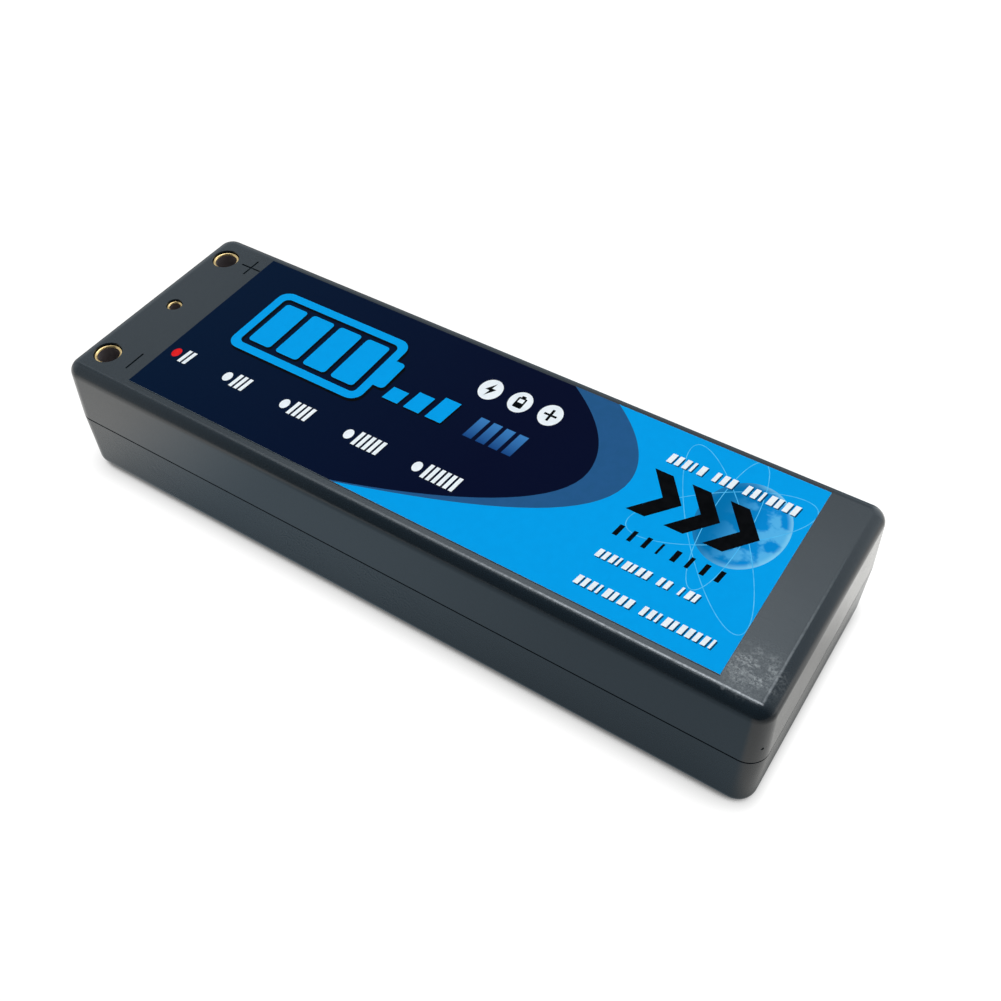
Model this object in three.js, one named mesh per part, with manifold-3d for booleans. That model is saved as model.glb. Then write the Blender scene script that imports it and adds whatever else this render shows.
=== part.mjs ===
// Hard-case battery pack with two pouch cells in series and three flush bullet sockets.
// Millimetres, +Z up. The origin is the middle of the underside. +X runs along the case away from
// the sockets, and the two power sockets lie on either side of the X axis.

import * as THREE from 'three';
import { mergeVertices } from 'three/addons/utils/BufferGeometryUtils.js';
import Module from 'manifold-3d';

const wasm = await Module();
wasm.setup();

// ---- driving dimensions ----------------------------------------------------------------------

// Case, outside. The seam is the widest level, and both halves draw in away from it.
const CASE_LENGTH = 138.0;
const CASE_WIDTH = 46.5;
const CASE_HEIGHT = 25.0;
const SEAM_HEIGHT = 12.9;
const SEAM_GAP = 0.1;
const CORNER_RADIUS = 3.4;
const TOP_DRAFT = 0.4;
const BOTTOM_DRAFT = 0.2;
const TOP_FILLET = 2.3;
const BOTTOM_FILLET = 2.2;

// Case, inside
const FLOOR_THICKNESS = 1.6;
const CAVITY_HALF_LENGTH = 67.2;
const CAVITY_HALF_WIDTH = 21.45;
const CAVITY_CORNER_RADIUS = 2.6;
const CAVITY_BOTTOM = FLOOR_THICKNESS;
const CAVITY_TOP = CASE_HEIGHT - FLOOR_THICKNESS;

// Lap joint between the halves: a lip on the upper one inside a rebate in the lower one
const LIP_THICKNESS = 0.75;
const LIP_BOTTOM = SEAM_HEIGHT - 0.95;
const REBATE_DEPTH = 0.85;
const REBATE_BOTTOM = LIP_BOTTOM - 0.4;

// Clearance between pieces that touch, and how far a cutting shape runs past the face it cuts
const TOUCH = 0.05;
const OVERSHOOT = 1.0;

// Sockets: the rims sit a little below the top face
const POWER_SOCKET = { x: -63.6, y: 16.1, outer: 2.5, bore: 2.0, boreDepth: 12.0, stub: 1.2 };
const BALANCE_SOCKET = { x: -62.6, y: 0.4, outer: 1.4, bore: 1.0, boreDepth: 9.0, stub: 0.5 };
const SOCKET_RIM = CASE_HEIGHT - 0.35;
const SOCKET_BASE_THICKNESS = 1.75;
const SOCKET_CLEARANCE = 0.1;
const RIM_CHAMFER = 0.12;
const SLEEVE_WALL = 1.4;
const POWER_SLEEVE_BOTTOM = 13.0;
const BALANCE_SLEEVE_BOTTOM = 15.0;
const STUB_BOTTOM = 7.4;

// Solder under the board: how far it spreads from the stub at its tip, its waist and the board
const SOLDER = { tip: 0.35, waist: 0.6, foot: 1.3, waistDrop: 0.15 };

// Moulded polarity marks
const MARK_STROKE = 0.35;
const MARK_DEPTH = 0.25;
const MARK_LENGTH = 4.5;
const PLUS_MARK = { x: -57.4, y: 16.5 };
const MINUS_MARK = { x: -57.7, y: -15.2 };

// Label
const LABEL = { x0: -54.9, x1: 59.4, y0: -19.5, y1: 20.4 };
const LABEL_THICKNESS = 0.15;
const LABEL_CORNER_RADIUS = 0.6;
const LABEL_CLEARANCE = 0.01;

// Cell stack, from the floor up: foam, tape band, cell, spacer tape, cell, tape band, foam
const CELL_THICKNESS = 9.8;
const CELL_HALF_WIDTH = 20.75;
const CELL_FRONT = -50.0;
const CELL_REAR = 63.9;
const CELL_EDGE_RADIUS = 1.2;
const CELL_CORNER_RADIUS = 2.0;
const LOWER_CELL_BOTTOM = 2.4;
const SPACER_THICKNESS = 0.4;
const UPPER_CELL_BOTTOM = LOWER_CELL_BOTTOM + CELL_THICKNESS + SPACER_THICKNESS + 2 * TOUCH;
const TERRACE_LENGTH = 4.0;
const TERRACE_HALF_WIDTH = 19.5;
const TERRACE_THICKNESS = 0.9;
const BAND_THICKNESS = 0.15;
const BAND_WIDTH = 12.0;
const BAND_CENTRES = { front_stack_band: -24.0, rear_stack_band: 38.0 };
const FOAM_HALF_WIDTH = 18.0;
const FOAM_MARGIN = 4.0;
const END_FOAM_MARGIN = 1.0;

// Tabs: each lies flat as it leaves its cell and folds down or up against a copper strip
const TAB_OFFSET = 12.0;
const TAB_WIDTH = 8.0;
const TAB_THICKNESS = 0.2;
const TAB_SLOT_DEPTH = 2.5;
const TAB_FOLD_HEIGHT = 4.0;
const TAB_SEAL = { width: 10.0, thickness: 0.6, length: 1.5 };

// Conductors and board
const COPPER_THICKNESS = 0.5;
const BUSBAR_FACE = -57.6;
const SERIES_BAR_FACE = -56.2;
const BUSBAR_HALF_WIDTH = 3.8;
const BUSBAR_FRONT = 2.8;
const LEG_HALF_WIDTH = 4.4;
const LEG_MARGIN = 1.0;
const SERIES_CROSSBAR_HEIGHT = 3.0;
const BOARD = { front: -66.9, rear: -58.4, halfWidth: 20.9, bottom: 8.7, cornerRadius: 2.7 };
const BOARD_TOP = BOARD.bottom + 1.6;
const LEDGE_DEPTH = 0.95;
const WIRE_RADIUS = 0.6;

// Paper sheet between the copper strips, and the room left round what passes through it
const INSULATOR = { face: -57.15, thickness: 0.2, bottom: 3.0, top: 22.0, sideMargin: 0.5 };
const SLIT_MARGIN = 0.3;
const SLIT_HALF_HEIGHT = 0.4;

// Facets
const CORNER_STEPS = 7;
const FILLET_STEPS = 4;
const POWER_FACETS = 32;
const BALANCE_FACETS = 24;
const WIRE_FACETS = 10;
const WIRE_STEPS = 14;

// ---- materials -------------------------------------------------------------------------------

function material(color, roughness, metalness = 0) {
  return new THREE.MeshStandardMaterial({ color, roughness, metalness });
}

const MATERIALS = {
  casePlastic: material(0x26282b, 0.5),
  labelFilm: material(0x0a5fa5, 0.3),
  gold: material(0xe0b040, 0.25, 1),
  pouchFilm: material(0xb8bcc2, 0.4, 0.6),
  aluminium: material(0xc9ccd0, 0.35, 1),
  nickel: material(0xb9b4a8, 0.3, 1),
  copper: material(0xb87345, 0.35, 1),
  boardLaminate: material(0x1f5a36, 0.5),
  sealFilm: material(0xe6dfc8, 0.5),
  solder: material(0xbfc3c8, 0.3, 1),
  wireSleeve: material(0xf0c020, 0.45),
  insulatorPaper: material(0x8fa9b3, 0.8),
  spacerTape: material(0xf2f2ee, 0.7),
  bandTape: material(0xc98a1e, 0.35),
  foam: material(0x2e3033, 0.95),
  adhesive: material(0xdcd8cc, 0.6),
};

// ---- shape helpers ---------------------------------------------------------------------------

// Outline of a rounded rectangle, anticlockwise, always with the same number of points
function roundedOutline(halfLength, halfWidth, radius) {
  const corners = [
    [halfLength - radius, halfWidth - radius, 0],
    [radius - halfLength, halfWidth - radius, Math.PI / 2],
    [radius - halfLength, radius - halfWidth, Math.PI],
    [halfLength - radius, radius - halfWidth, 1.5 * Math.PI],
  ];
  const outline = [];
  for (const [x, y, start] of corners) {
    for (let step = 0; step <= CORNER_STEPS; step += 1) {
      const angle = start + (Math.PI / 2) * (step / CORNER_STEPS);
      outline.push([x + radius * Math.cos(angle), y + radius * Math.sin(angle)]);
    }
  }
  return outline;
}

// Skin through a stack of rounded rectangles. The first is closed facing down, the last facing up.
function loft(rings, centreX = 0, centreY = 0) {
  const count = 4 * (CORNER_STEPS + 1);
  const positions = [];
  for (const [z, halfLength, halfWidth, radius] of rings) {
    for (const [x, y] of roundedOutline(halfLength, halfWidth, radius)) {
      positions.push(centreX + x, centreY + y, z);
    }
  }
  const index = [];
  for (let level = 0; level < rings.length - 1; level += 1) {
    for (let i = 0; i < count; i += 1) {
      const a = level * count + i;
      const b = level * count + ((i + 1) % count);
      index.push(a, b, b + count, a, b + count, a + count);
    }
  }
  const last = (rings.length - 1) * count;
  for (let i = 1; i < count - 1; i += 1) {
    index.push(0, i + 1, i);
    index.push(last, last + i, last + i + 1);
  }
  const geometry = new THREE.BufferGeometry();
  geometry.setAttribute('position', new THREE.Float32BufferAttribute(positions, 3));
  geometry.setIndex(index);
  geometry.computeVertexNormals();
  return geometry;
}

function boxBetween([x0, y0, z0], [x1, y1, z1]) {
  const geometry = new THREE.BoxGeometry(x1 - x0, y1 - y0, z1 - z0);
  return geometry.translate((x0 + x1) / 2, (y0 + y1) / 2, (z0 + z1) / 2);
}

// Solid of revolution about a vertical axis, from a profile of [radius, height]
function turned(profile, facets, x, y) {
  const points = profile.map(([radius, height]) => new THREE.Vector2(radius, height));
  return new THREE.LatheGeometry(points, facets).rotateX(Math.PI / 2).translate(x, y, 0);
}

// Upright cylinder on the axis of a socket
function pin(socket, radius, low, high, facets) {
  return turned([[0, low], [radius, low], [radius, high], [0, high]], facets, socket.x, socket.y);
}

// Prism along Y from an outline of [x, z]
function prismAlongY(outline, y0, y1) {
  const shape = new THREE.Shape(outline.map(([x, z]) => new THREE.Vector2(z, x)));
  const geometry = new THREE.ExtrudeGeometry(shape, { depth: y1 - y0, bevelEnabled: false });
  const turn = new THREE.Matrix4().makeBasis(
    new THREE.Vector3(0, 0, 1), new THREE.Vector3(1, 0, 0), new THREE.Vector3(0, 1, 0));
  return geometry.applyMatrix4(turn).translate(0, y0, 0);
}

// Prism along X from an outline of [y, z], with an optional hole
function prismAlongX(outline, x0, x1, hole = null) {
  const shape = new THREE.Shape(outline.map(([y, z]) => new THREE.Vector2(y, z)));
  if (hole) {
    shape.holes.push(new THREE.Path(hole.map(([y, z]) => new THREE.Vector2(y, z))));
  }
  const geometry = new THREE.ExtrudeGeometry(shape, { depth: x1 - x0, bevelEnabled: false });
  const turn = new THREE.Matrix4().makeBasis(
    new THREE.Vector3(0, 1, 0), new THREE.Vector3(0, 0, 1), new THREE.Vector3(1, 0, 0));
  return geometry.applyMatrix4(turn).translate(x0, 0, 0);
}

function rectangle(u0, v0, u1, v1) {
  return [[u0, v0], [u1, v0], [u1, v1], [u0, v1]];
}

// Closed solid for joining and cutting, with its shared vertices merged
function solidFrom(geometry) {
  const bare = geometry.clone();
  bare.deleteAttribute('normal');
  bare.deleteAttribute('uv');
  const merged = mergeVertices(bare, 1e-5);
  const corners = merged.index.array;
  const kept = [];
  for (let i = 0; i < corners.length; i += 3) {
    const [a, b, c] = [corners[i], corners[i + 1], corners[i + 2]];
    if (a !== b && b !== c && c !== a) {
      kept.push(a, b, c);
    }
  }
  return new wasm.Manifold(new wasm.Mesh({
    numProp: 3,
    vertProperties: new Float32Array(merged.attributes.position.array),
    triVerts: new Uint32Array(kept),
  }));
}

function geometryFrom(solid) {
  const mesh = solid.getMesh();
  const geometry = new THREE.BufferGeometry();
  geometry.setAttribute('position', new THREE.BufferAttribute(new Float32Array(mesh.vertProperties), 3));
  geometry.setIndex(new THREE.BufferAttribute(new Uint32Array(mesh.triVerts), 1));
  geometry.computeVertexNormals();
  return geometry;
}

// Joins the added geometries to the first, then cuts the others away
function joinAndCut(base, added, cut) {
  let solid = solidFrom(base);
  for (const piece of added) {
    solid = solid.add(solidFrom(piece));
  }
  for (const piece of cut) {
    solid = solid.subtract(solidFrom(piece));
  }
  return geometryFrom(solid);
}

// ---- case ------------------------------------------------------------------------------------

const POWER_CENTRES = [
  { name: 'positive', ...POWER_SOCKET },
  { name: 'negative', ...POWER_SOCKET, y: -POWER_SOCKET.y },
];

// Outer level of the case: everything drawn in by the same inset from the seam outline
function outerRing(z, inset) {
  return [z, CASE_LENGTH / 2 - inset, CASE_WIDTH / 2 - inset, CORNER_RADIUS - inset];
}

function cavityRing(z, outset = 0) {
  const radius = CAVITY_CORNER_RADIUS + outset;
  return [z, CAVITY_HALF_LENGTH + outset, CAVITY_HALF_WIDTH + outset, radius];
}

function filletRings(faceHeight, direction, fillet, draft) {
  const rings = [];
  for (let step = 0; step <= FILLET_STEPS; step += 1) {
    const angle = (Math.PI / 2) * (step / FILLET_STEPS);
    const inset = draft + fillet * (1 - Math.cos(angle));
    rings.push(outerRing(faceHeight - direction * fillet * (1 - Math.sin(angle)), inset));
  }
  return rings;
}

function plusCuts() {
  const half = MARK_LENGTH / 2;
  const stroke = MARK_STROKE / 2;
  const low = CASE_HEIGHT - MARK_DEPTH;
  const high = CASE_HEIGHT + OVERSHOOT;
  const { x, y } = PLUS_MARK;
  return [
    boxBetween([x - half, y - stroke, low], [x + half, y + stroke, high]),
    boxBetween([x - stroke, y - half, low], [x + stroke, y + half, high]),
  ];
}

function minusCut() {
  const half = MARK_LENGTH / 2;
  const stroke = MARK_STROKE / 2;
  const low = CASE_HEIGHT - MARK_DEPTH;
  const high = CASE_HEIGHT + OVERSHOOT;
  const { x, y } = MINUS_MARK;
  return boxBetween([x - stroke, y - half, low], [x + stroke, y + half, high]);
}

function upperCase() {
  const shell = loft([
    cavityRing(CAVITY_TOP),
    cavityRing(LIP_BOTTOM),
    cavityRing(LIP_BOTTOM, LIP_THICKNESS),
    cavityRing(SEAM_HEIGHT + SEAM_GAP / 2, LIP_THICKNESS),
    outerRing(SEAM_HEIGHT + SEAM_GAP / 2, 0),
    ...filletRings(CASE_HEIGHT, 1, TOP_FILLET, TOP_DRAFT),
  ]);
  const sleeves = [];
  const holes = [];
  const sockets = [
    ...POWER_CENTRES.map((socket) => [socket, POWER_SLEEVE_BOTTOM, POWER_FACETS]),
    [BALANCE_SOCKET, BALANCE_SLEEVE_BOTTOM, BALANCE_FACETS],
  ];
  const roof = CAVITY_TOP + FLOOR_THICKNESS / 2;
  for (const [socket, bottom, facets] of sockets) {
    const hole = socket.outer + SOCKET_CLEARANCE;
    sleeves.push(pin(socket, hole + SLEEVE_WALL, bottom, roof, facets));
    holes.push(pin(socket, hole, bottom - OVERSHOOT, CASE_HEIGHT + OVERSHOOT, facets));
  }
  return joinAndCut(shell, sleeves, [...holes, ...plusCuts(), minusCut()]);
}

function lowerCase() {
  const tray = loft([
    ...filletRings(0, -1, BOTTOM_FILLET, BOTTOM_DRAFT).reverse(),
    outerRing(SEAM_HEIGHT - SEAM_GAP / 2, 0),
    cavityRing(SEAM_HEIGHT - SEAM_GAP / 2, REBATE_DEPTH),
    cavityRing(REBATE_BOTTOM, REBATE_DEPTH),
    cavityRing(REBATE_BOTTOM),
    cavityRing(CAVITY_BOTTOM),
  ]);
  const low = CAVITY_BOTTOM - FLOOR_THICKNESS / 2;
  const top = BOARD.bottom - TOUCH;
  const wallX = CAVITY_HALF_LENGTH + LIP_THICKNESS / 2;
  const wallY = CAVITY_HALF_WIDTH + LIP_THICKNESS / 2;
  const cornerInset = CAVITY_CORNER_RADIUS / 2;
  const endY = wallY - cornerInset;
  const front = cornerInset - wallX;
  const innerY = CAVITY_HALF_WIDTH - LEDGE_DEPTH;
  return joinAndCut(tray, [
    boxBetween([-wallX, -endY, low], [LEDGE_DEPTH - CAVITY_HALF_LENGTH, endY, top]),
    boxBetween([front, -wallY, low], [BOARD.rear, -innerY, top]),
    boxBetween([front, innerY, low], [BOARD.rear, wallY, top]),
  ], []);
}

function seamAdhesive() {
  const inner = 2 * TOUCH;
  const outer = LIP_THICKNESS - TOUCH;
  const low = REBATE_BOTTOM + TOUCH;
  const high = LIP_BOTTOM - TOUCH;
  const bead = loft([cavityRing(low, outer), cavityRing(high, outer)]);
  const middle = loft([cavityRing(low - OVERSHOOT, inner), cavityRing(high + OVERSHOOT, inner)]);
  return joinAndCut(bead, [], [middle]);
}

function topLabel() {
  const { x0, x1, y0, y1 } = LABEL;
  const low = CASE_HEIGHT + LABEL_CLEARANCE;
  const high = CASE_HEIGHT + LABEL_THICKNESS;
  const outline = [(x1 - x0) / 2, (y1 - y0) / 2, LABEL_CORNER_RADIUS];
  return loft([[low, ...outline], [high, ...outline]], (x0 + x1) / 2, (y0 + y1) / 2);
}

// ---- sockets ---------------------------------------------------------------------------------

function socketBody(socket, facets) {
  const boreFloor = SOCKET_RIM - socket.boreDepth;
  const base = boreFloor - SOCKET_BASE_THICKNESS;
  return turned([
    [0, STUB_BOTTOM],
    [socket.stub, STUB_BOTTOM],
    [socket.stub, base],
    [socket.outer, base],
    [socket.outer, SOCKET_RIM - RIM_CHAMFER],
    [socket.outer - RIM_CHAMFER, SOCKET_RIM],
    [socket.bore + RIM_CHAMFER, SOCKET_RIM],
    [socket.bore, SOCKET_RIM - RIM_CHAMFER],
    [socket.bore, boreFloor],
    [0, boreFloor],
  ], facets, socket.x, socket.y);
}

function solderJoint(socket, facets) {
  const inner = socket.stub + TOUCH;
  const top = BOARD.bottom - TOUCH;
  const bottom = STUB_BOTTOM + TOUCH;
  return turned([
    [inner, bottom],
    [inner + SOLDER.tip, bottom],
    [inner + SOLDER.waist, (top + bottom) / 2 - SOLDER.waistDrop],
    [inner + SOLDER.foot, top],
    [inner, top],
    [inner, bottom],
  ], facets, socket.x, socket.y);
}

// ---- cells -----------------------------------------------------------------------------------

const CELLS = [
  { name: 'lower', bottom: LOWER_CELL_BOTTOM },
  { name: 'upper', bottom: UPPER_CELL_BOTTOM },
];
const CELL_STACK_TOP = UPPER_CELL_BOTTOM + CELL_THICKNESS;

function tabHeight(cell) {
  return cell.bottom + CELL_THICKNESS / 2;
}

function pouchCell(cell) {
  const halfLength = (CELL_REAR - CELL_FRONT) / 2;
  const rings = [];
  for (const [face, direction] of [[cell.bottom, -1], [cell.bottom + CELL_THICKNESS, 1]]) {
    const side = [];
    for (let step = 0; step <= FILLET_STEPS; step += 1) {
      const angle = (Math.PI / 2) * (step / FILLET_STEPS);
      const inset = CELL_EDGE_RADIUS * (1 - Math.cos(angle));
      const z = face - direction * CELL_EDGE_RADIUS * (1 - Math.sin(angle));
      side.push([z, halfLength - inset, CELL_HALF_WIDTH - inset, CELL_CORNER_RADIUS - inset]);
    }
    rings.push(...(direction < 0 ? side.reverse() : side));
  }
  const body = loft(rings, (CELL_FRONT + CELL_REAR) / 2, 0);
  const middle = tabHeight(cell);
  const front = CELL_FRONT - TERRACE_LENGTH;
  const terrace = boxBetween(
    [front, -TERRACE_HALF_WIDTH, middle - TERRACE_THICKNESS / 2],
    [CELL_FRONT + CELL_CORNER_RADIUS, TERRACE_HALF_WIDTH, middle + TERRACE_THICKNESS / 2]);
  const slots = [-TAB_OFFSET, TAB_OFFSET].map((y) => boxBetween(
    [front - OVERSHOOT, y - TAB_WIDTH / 2 - TOUCH, middle - TAB_THICKNESS / 2 - TOUCH],
    [front + TAB_SLOT_DEPTH + TOUCH, y + TAB_WIDTH / 2 + TOUCH, middle + TAB_THICKNESS / 2 + TOUCH]));
  return joinAndCut(body, [terrace], slots);
}

// The tab runs from its slot to the copper face and folds there, up or down
function cellTab(cell, y, copperFace, foldDirection) {
  const middle = tabHeight(cell);
  const half = TAB_THICKNESS / 2;
  const root = CELL_FRONT - TERRACE_LENGTH + TAB_SLOT_DEPTH;
  const outer = copperFace + TOUCH;
  const inner = outer + TAB_THICKNESS;
  const outside = middle - foldDirection * half;
  const inside = middle + foldDirection * half;
  const end = middle + foldDirection * TAB_FOLD_HEIGHT;
  return prismAlongY([
    [root, outside], [outer, outside], [outer, end], [inner, end], [inner, inside], [root, inside],
  ], y - TAB_WIDTH / 2, y + TAB_WIDTH / 2);
}

function tabSeal(cell, y) {
  const middle = tabHeight(cell);
  const rear = CELL_FRONT - TERRACE_LENGTH - TOUCH;
  const holeWidth = TAB_WIDTH / 2 + TOUCH;
  const holeHeight = TAB_THICKNESS / 2 + TOUCH;
  return prismAlongX(
    rectangle(y - TAB_SEAL.width / 2, middle - TAB_SEAL.thickness / 2,
      y + TAB_SEAL.width / 2, middle + TAB_SEAL.thickness / 2),
    rear - TAB_SEAL.length, rear,
    rectangle(y - holeWidth, middle - holeHeight, y + holeWidth, middle + holeHeight));
}

// ---- conductors ------------------------------------------------------------------------------

// A strip clamped under a power socket on the board, with a leg up or down beside its tab
function busbar(socket, cell) {
  const side = Math.sign(socket.y);
  const bottom = BOARD_TOP + TOUCH;
  const top = bottom + COPPER_THICKNESS;
  const front = socket.x - BUSBAR_FRONT;
  const legFront = BUSBAR_FACE - COPPER_THICKNESS;
  const strip = boxBetween(
    [front, socket.y - BUSBAR_HALF_WIDTH, bottom], [BUSBAR_FACE, socket.y + BUSBAR_HALF_WIDTH, top]);
  const tabMiddle = tabHeight(cell);
  const rises = tabMiddle > top;
  const legLow = rises ? bottom : tabMiddle - TAB_FOLD_HEIGHT;
  const legHigh = rises ? tabMiddle + LEG_MARGIN : top;
  const legY = [side * TAB_OFFSET - LEG_HALF_WIDTH, side * TAB_OFFSET + LEG_HALF_WIDTH];
  const leg = boxBetween([legFront, legY[0], legLow], [BUSBAR_FACE, legY[1], legHigh]);
  const hole = pin(socket, socket.stub + TOUCH, bottom - OVERSHOOT, top + OVERSHOOT, POWER_FACETS);
  return joinAndCut(strip, [leg], [hole]);
}

// Z-shaped copper plate: down from the upper cell's negative tab, across, and on to the lower
// cell's positive tab
function seriesBar() {
  const [lower, upper] = CELLS.map(tabHeight);
  const middle = (lower + upper) / 2;
  const half = SERIES_CROSSBAR_HEIGHT / 2;
  const [left, right] = [-TAB_OFFSET - LEG_HALF_WIDTH, TAB_OFFSET + LEG_HALF_WIDTH];
  const innerLeft = left + 2 * LEG_HALF_WIDTH;
  const innerRight = right - 2 * LEG_HALF_WIDTH;
  return prismAlongX([
    [left, middle - half],
    [innerRight, middle - half],
    [innerRight, lower - LEG_MARGIN],
    [right, lower - LEG_MARGIN],
    [right, middle + half],
    [innerLeft, middle + half],
    [innerLeft, upper + LEG_MARGIN],
    [left, upper + LEG_MARGIN],
  ], SERIES_BAR_FACE - COPPER_THICKNESS, SERIES_BAR_FACE);
}

function terminalBoard() {
  const halfLength = (BOARD.rear - BOARD.front) / 2;
  const outline = [halfLength, BOARD.halfWidth, BOARD.cornerRadius];
  const plate = loft([[BOARD.bottom, ...outline], [BOARD_TOP, ...outline]], BOARD.front + halfLength, 0);
  const [low, high] = [BOARD.bottom - OVERSHOOT, BOARD_TOP + OVERSHOOT];
  const holes = [...POWER_CENTRES, BALANCE_SOCKET].map(
    (socket) => pin(socket, socket.stub + 2 * TOUCH, low, high, BALANCE_FACETS));
  return joinAndCut(plate, [], holes);
}

// Paper between the busbar legs and the series bar, slit for the two outer tabs and the tap wire
function tabInsulator() {
  const [lower, upper] = CELLS.map(tabHeight);
  const middle = (lower + upper) / 2;
  const x0 = INSULATOR.face;
  const x1 = x0 + INSULATOR.thickness;
  const halfWidth = CELL_HALF_WIDTH - INSULATOR.sideMargin;
  const sheet = boxBetween([x0, -halfWidth, INSULATOR.bottom], [x1, halfWidth, INSULATOR.top]);
  const slit = (y, z, halfSlit, halfHeight) => boxBetween(
    [x0 - OVERSHOOT, y - halfSlit, z - halfHeight], [x1 + OVERSHOOT, y + halfSlit, z + halfHeight]);
  const tabSlit = TAB_WIDTH / 2 + SLIT_MARGIN;
  return joinAndCut(sheet, [], [
    slit(TAB_OFFSET, upper, tabSlit, SLIT_HALF_HEIGHT),
    slit(-TAB_OFFSET, lower, tabSlit, SLIT_HALF_HEIGHT),
    slit(BALANCE_SOCKET.y, middle, 2 * WIRE_RADIUS, 2 * WIRE_RADIUS),
  ]);
}

// From the middle of the series bar, through the paper, down to the board beside the balance socket
function balanceWire() {
  const [lower, upper] = CELLS.map(tabHeight);
  const middle = (lower + upper) / 2;
  const start = SERIES_BAR_FACE - COPPER_THICKNESS - TOUCH;
  const { y } = BALANCE_SOCKET;
  const route = new THREE.CatmullRomCurve3([
    new THREE.Vector3(start, y, middle),
    new THREE.Vector3(start - 1.2, y, middle),
    new THREE.Vector3(start - 2.6, y, middle - 0.25),
    new THREE.Vector3(start - 3.4, y, middle - 1.0),
    new THREE.Vector3(start - 3.6, y, BOARD_TOP + TOUCH),
  ]);
  const section = new THREE.Shape();
  section.absarc(0, 0, WIRE_RADIUS, 0, 2 * Math.PI);
  return new THREE.ExtrudeGeometry(section, {
    steps: WIRE_STEPS, curveSegments: WIRE_FACETS, extrudePath: route, bevelEnabled: false,
  });
}

// ---- packing ---------------------------------------------------------------------------------

function spacerTape() {
  const low = LOWER_CELL_BOTTOM + CELL_THICKNESS + TOUCH;
  return boxBetween(
    [CELL_FRONT + FOAM_MARGIN, -FOAM_HALF_WIDTH, low],
    [CELL_REAR - FOAM_MARGIN, FOAM_HALF_WIDTH, low + SPACER_THICKNESS]);
}

function stackBand(centre) {
  const halfWidth = CELL_HALF_WIDTH + TOUCH;
  const bottom = LOWER_CELL_BOTTOM - TOUCH;
  const top = CELL_STACK_TOP + TOUCH;
  const t = BAND_THICKNESS;
  return prismAlongX(
    rectangle(-halfWidth - t, bottom - t, halfWidth + t, top + t),
    centre - BAND_WIDTH / 2, centre + BAND_WIDTH / 2,
    rectangle(-halfWidth, bottom, halfWidth, top));
}

function foamPad(bottom, top) {
  return boxBetween(
    [CELL_FRONT + FOAM_MARGIN, -FOAM_HALF_WIDTH, bottom], [CELL_REAR - FOAM_MARGIN, FOAM_HALF_WIDTH, top]);
}

function endFoamBlock() {
  return boxBetween(
    [CELL_REAR + TOUCH, -FOAM_HALF_WIDTH, LOWER_CELL_BOTTOM + END_FOAM_MARGIN],
    [CAVITY_HALF_LENGTH - TOUCH, FOAM_HALF_WIDTH, CELL_STACK_TOP - END_FOAM_MARGIN]);
}

// ---- assembly --------------------------------------------------------------------------------

const pack = new THREE.Group();

function place(name, geometry, finish) {
  const mesh = new THREE.Mesh(geometry, finish.clone());
  mesh.name = name;
  pack.add(mesh);
}

place('upper_case', upperCase(), MATERIALS.casePlastic);
place('lower_case', lowerCase(), MATERIALS.casePlastic);
place('seam_adhesive', seamAdhesive(), MATERIALS.adhesive);
place('top_label', topLabel(), MATERIALS.labelFilm);

for (const socket of POWER_CENTRES) {
  place(`${socket.name}_socket`, socketBody(socket, POWER_FACETS), MATERIALS.gold);
  place(`${socket.name}_solder_joint`, solderJoint(socket, POWER_FACETS), MATERIALS.solder);
}
place('balance_socket', socketBody(BALANCE_SOCKET, BALANCE_FACETS), MATERIALS.gold);
place('balance_solder_joint', solderJoint(BALANCE_SOCKET, BALANCE_FACETS), MATERIALS.solder);

for (const cell of CELLS) {
  place(`${cell.name}_cell`, pouchCell(cell), MATERIALS.pouchFilm);
  place(`${cell.name}_positive_tab_seal`, tabSeal(cell, TAB_OFFSET), MATERIALS.sealFilm);
  place(`${cell.name}_negative_tab_seal`, tabSeal(cell, -TAB_OFFSET), MATERIALS.sealFilm);
}
const [lowerCell, upperCell] = CELLS;
place('upper_positive_tab', cellTab(upperCell, TAB_OFFSET, BUSBAR_FACE, -1), MATERIALS.aluminium);
place('upper_negative_tab', cellTab(upperCell, -TAB_OFFSET, SERIES_BAR_FACE, -1), MATERIALS.nickel);
place('lower_positive_tab', cellTab(lowerCell, TAB_OFFSET, SERIES_BAR_FACE, 1), MATERIALS.aluminium);
place('lower_negative_tab', cellTab(lowerCell, -TAB_OFFSET, BUSBAR_FACE, -1), MATERIALS.nickel);

place('terminal_board', terminalBoard(), MATERIALS.boardLaminate);
place('positive_busbar', busbar(POWER_CENTRES[0], upperCell), MATERIALS.copper);
place('negative_busbar', busbar(POWER_CENTRES[1], lowerCell), MATERIALS.copper);
place('series_bar', seriesBar(), MATERIALS.copper);
place('tab_insulator', tabInsulator(), MATERIALS.insulatorPaper);
place('balance_wire', balanceWire(), MATERIALS.wireSleeve);

place('cell_spacer_tape', spacerTape(), MATERIALS.spacerTape);
for (const [name, centre] of Object.entries(BAND_CENTRES)) {
  place(name, stackBand(centre), MATERIALS.bandTape);
}
const bandRoom = BAND_THICKNESS + 2 * TOUCH;
place('bottom_foam_pad', foamPad(CAVITY_BOTTOM + TOUCH, LOWER_CELL_BOTTOM - bandRoom), MATERIALS.foam);
place('top_foam_pad', foamPad(CELL_STACK_TOP + bandRoom, CAVITY_TOP - TOUCH), MATERIALS.foam);
place('end_foam_block', endFoamBlock(), MATERIALS.foam);

export default pack;
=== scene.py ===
"""Looks of a hard-case battery pack: moulded case, printed label, gold sockets and the parts inside.

Lengths are in millimetres in the functions that build meshes, which scale them to metres at the end.
Materials, camera, lamp and stage places are in metres.
"""

import math

import bmesh
import bpy
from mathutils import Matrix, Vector, geometry


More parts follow.
